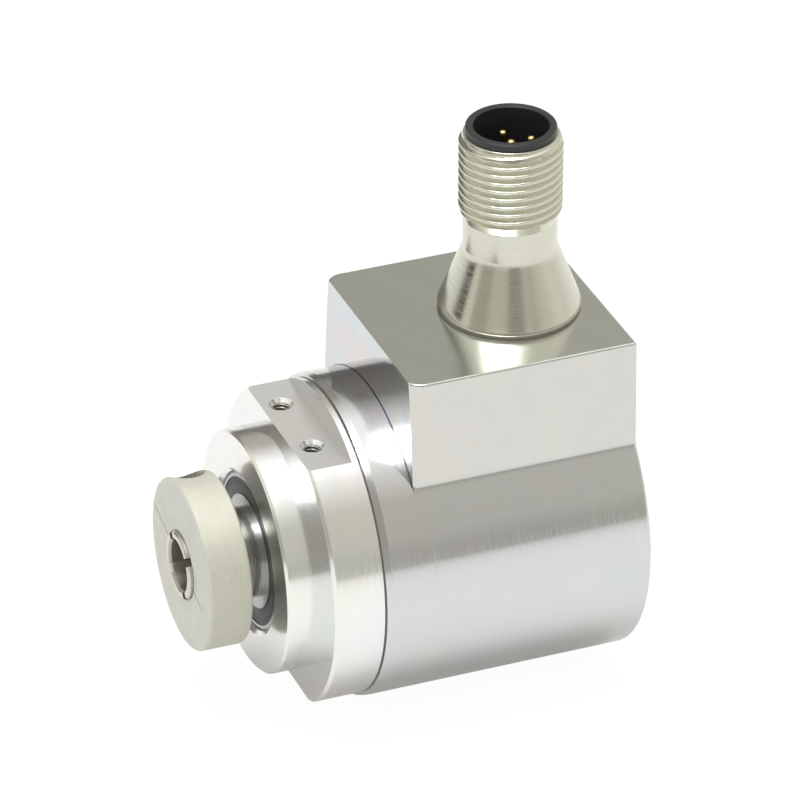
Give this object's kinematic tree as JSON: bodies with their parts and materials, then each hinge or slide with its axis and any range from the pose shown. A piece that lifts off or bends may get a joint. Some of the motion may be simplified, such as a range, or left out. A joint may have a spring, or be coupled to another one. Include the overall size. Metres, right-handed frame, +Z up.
{
  "type": "absolute rotary encoder",
  "caption": "Absolute rotary encoder: stainless pot with square connector block, upright M12 plug, flange with pilot boss, and blind hollow shaft with clamp ring.",
  "frame": {"origin": "where the shaft axis meets the flange's mounting face", "axes": "-Y points out of the clamp end along the shaft axis; +Z points up the plug's axis; +X is to the right, seen from the clamp end"},
  "size_m": [0.0384, 0.0514, 0.0689],
  "materials": {
    "housing_steel": "turned and brushed stainless",
    "flange_steel": "fine turned stainless",
    "ring_steel": "bead blasted stainless",
    "shaft_steel": "ground and polished stainless",
    "bearing_steel": "ground bearing steel",
    "ball_steel": "polished",
    "seal_rubber": "matt dark grey",
    "o_ring_rubber": "matt black",
    "spring_steel": "rolled strip",
    "magnet_material": "nickel grey",
    "holder_aluminium": "turned",
    "screw_steel": "stainless screw",
    "board_green": "solder mask",
    "chip_black": "moulded",
    "connector_white": "moulded",
    "wire_sheath": "insulation",
    "plug_metal": "turned stainless",
    "insert_black": "moulded",
    "contact_gold": "gold plated"
  },
  "bodies": {
    "housing": {"housing": "housing_steel", "bearing_flange": "flange_steel", "housing_o_ring": "o_ring_rubber", "bearing_spring": "spring_steel", "front_outer_ring": "bearing_steel", "rear_outer_ring": "bearing_steel", "front_bearing_seals": "seal_rubber", "rear_bearing_seals": "seal_rubber", "board_posts": "holder_aluminium", "sensor_board": "board_green", "sensor_chip": "chip_black", "board_spacers": "holder_aluminium", "logic_board": "board_green", "processor": "chip_black", "board_screws": "screw_steel", "board_link": "chip_black", "wire_connector": "connector_white", "plug_wires": "wire_sheath", "plug_gasket": "o_ring_rubber", "plug_body": "plug_metal", "plug_insert": "insert_black", "plug_contacts": "contact_gold"},
    "rotor": {"hollow_shaft": "shaft_steel", "clamp_ring": "ring_steel", "clamp_screw": "screw_steel", "front_inner_ring": "bearing_steel", "rear_inner_ring": "bearing_steel", "inner_spacer": "shaft_steel", "shaft_clip": "spring_steel", "magnet_holder": "holder_aluminium", "magnet": "magnet_material"},
    "front_ball_set": {"front_balls": "ball_steel", "front_ball_cage": "spring_steel"},
    "rear_ball_set": {"rear_balls": "ball_steel", "rear_ball_cage": "spring_steel"}
  },
  "joints": [
    {"name": "shaft_spin", "type": "hinge", "parent": "housing", "child": "rotor", "pos_m": [0, 0, 0], "axis": [0, 1, 0], "continuous": true},
    {"name": "front_balls_orbit", "type": "hinge", "parent": "housing", "child": "front_ball_set", "pos_m": [0, -0.0012, 0], "axis": [0, 1, 0], "continuous": true},
    {"name": "rear_balls_orbit", "type": "hinge", "parent": "housing", "child": "rear_ball_set", "pos_m": [0, 0.0108, 0], "axis": [0, 1, 0], "continuous": true}
  ],
  "couplings": [
    {"joint": "front_balls_orbit", "follows": "shaft_spin", "ratio": 0.43103},
    {"joint": "rear_balls_orbit", "follows": "shaft_spin", "ratio": 0.43103}
  ]
}
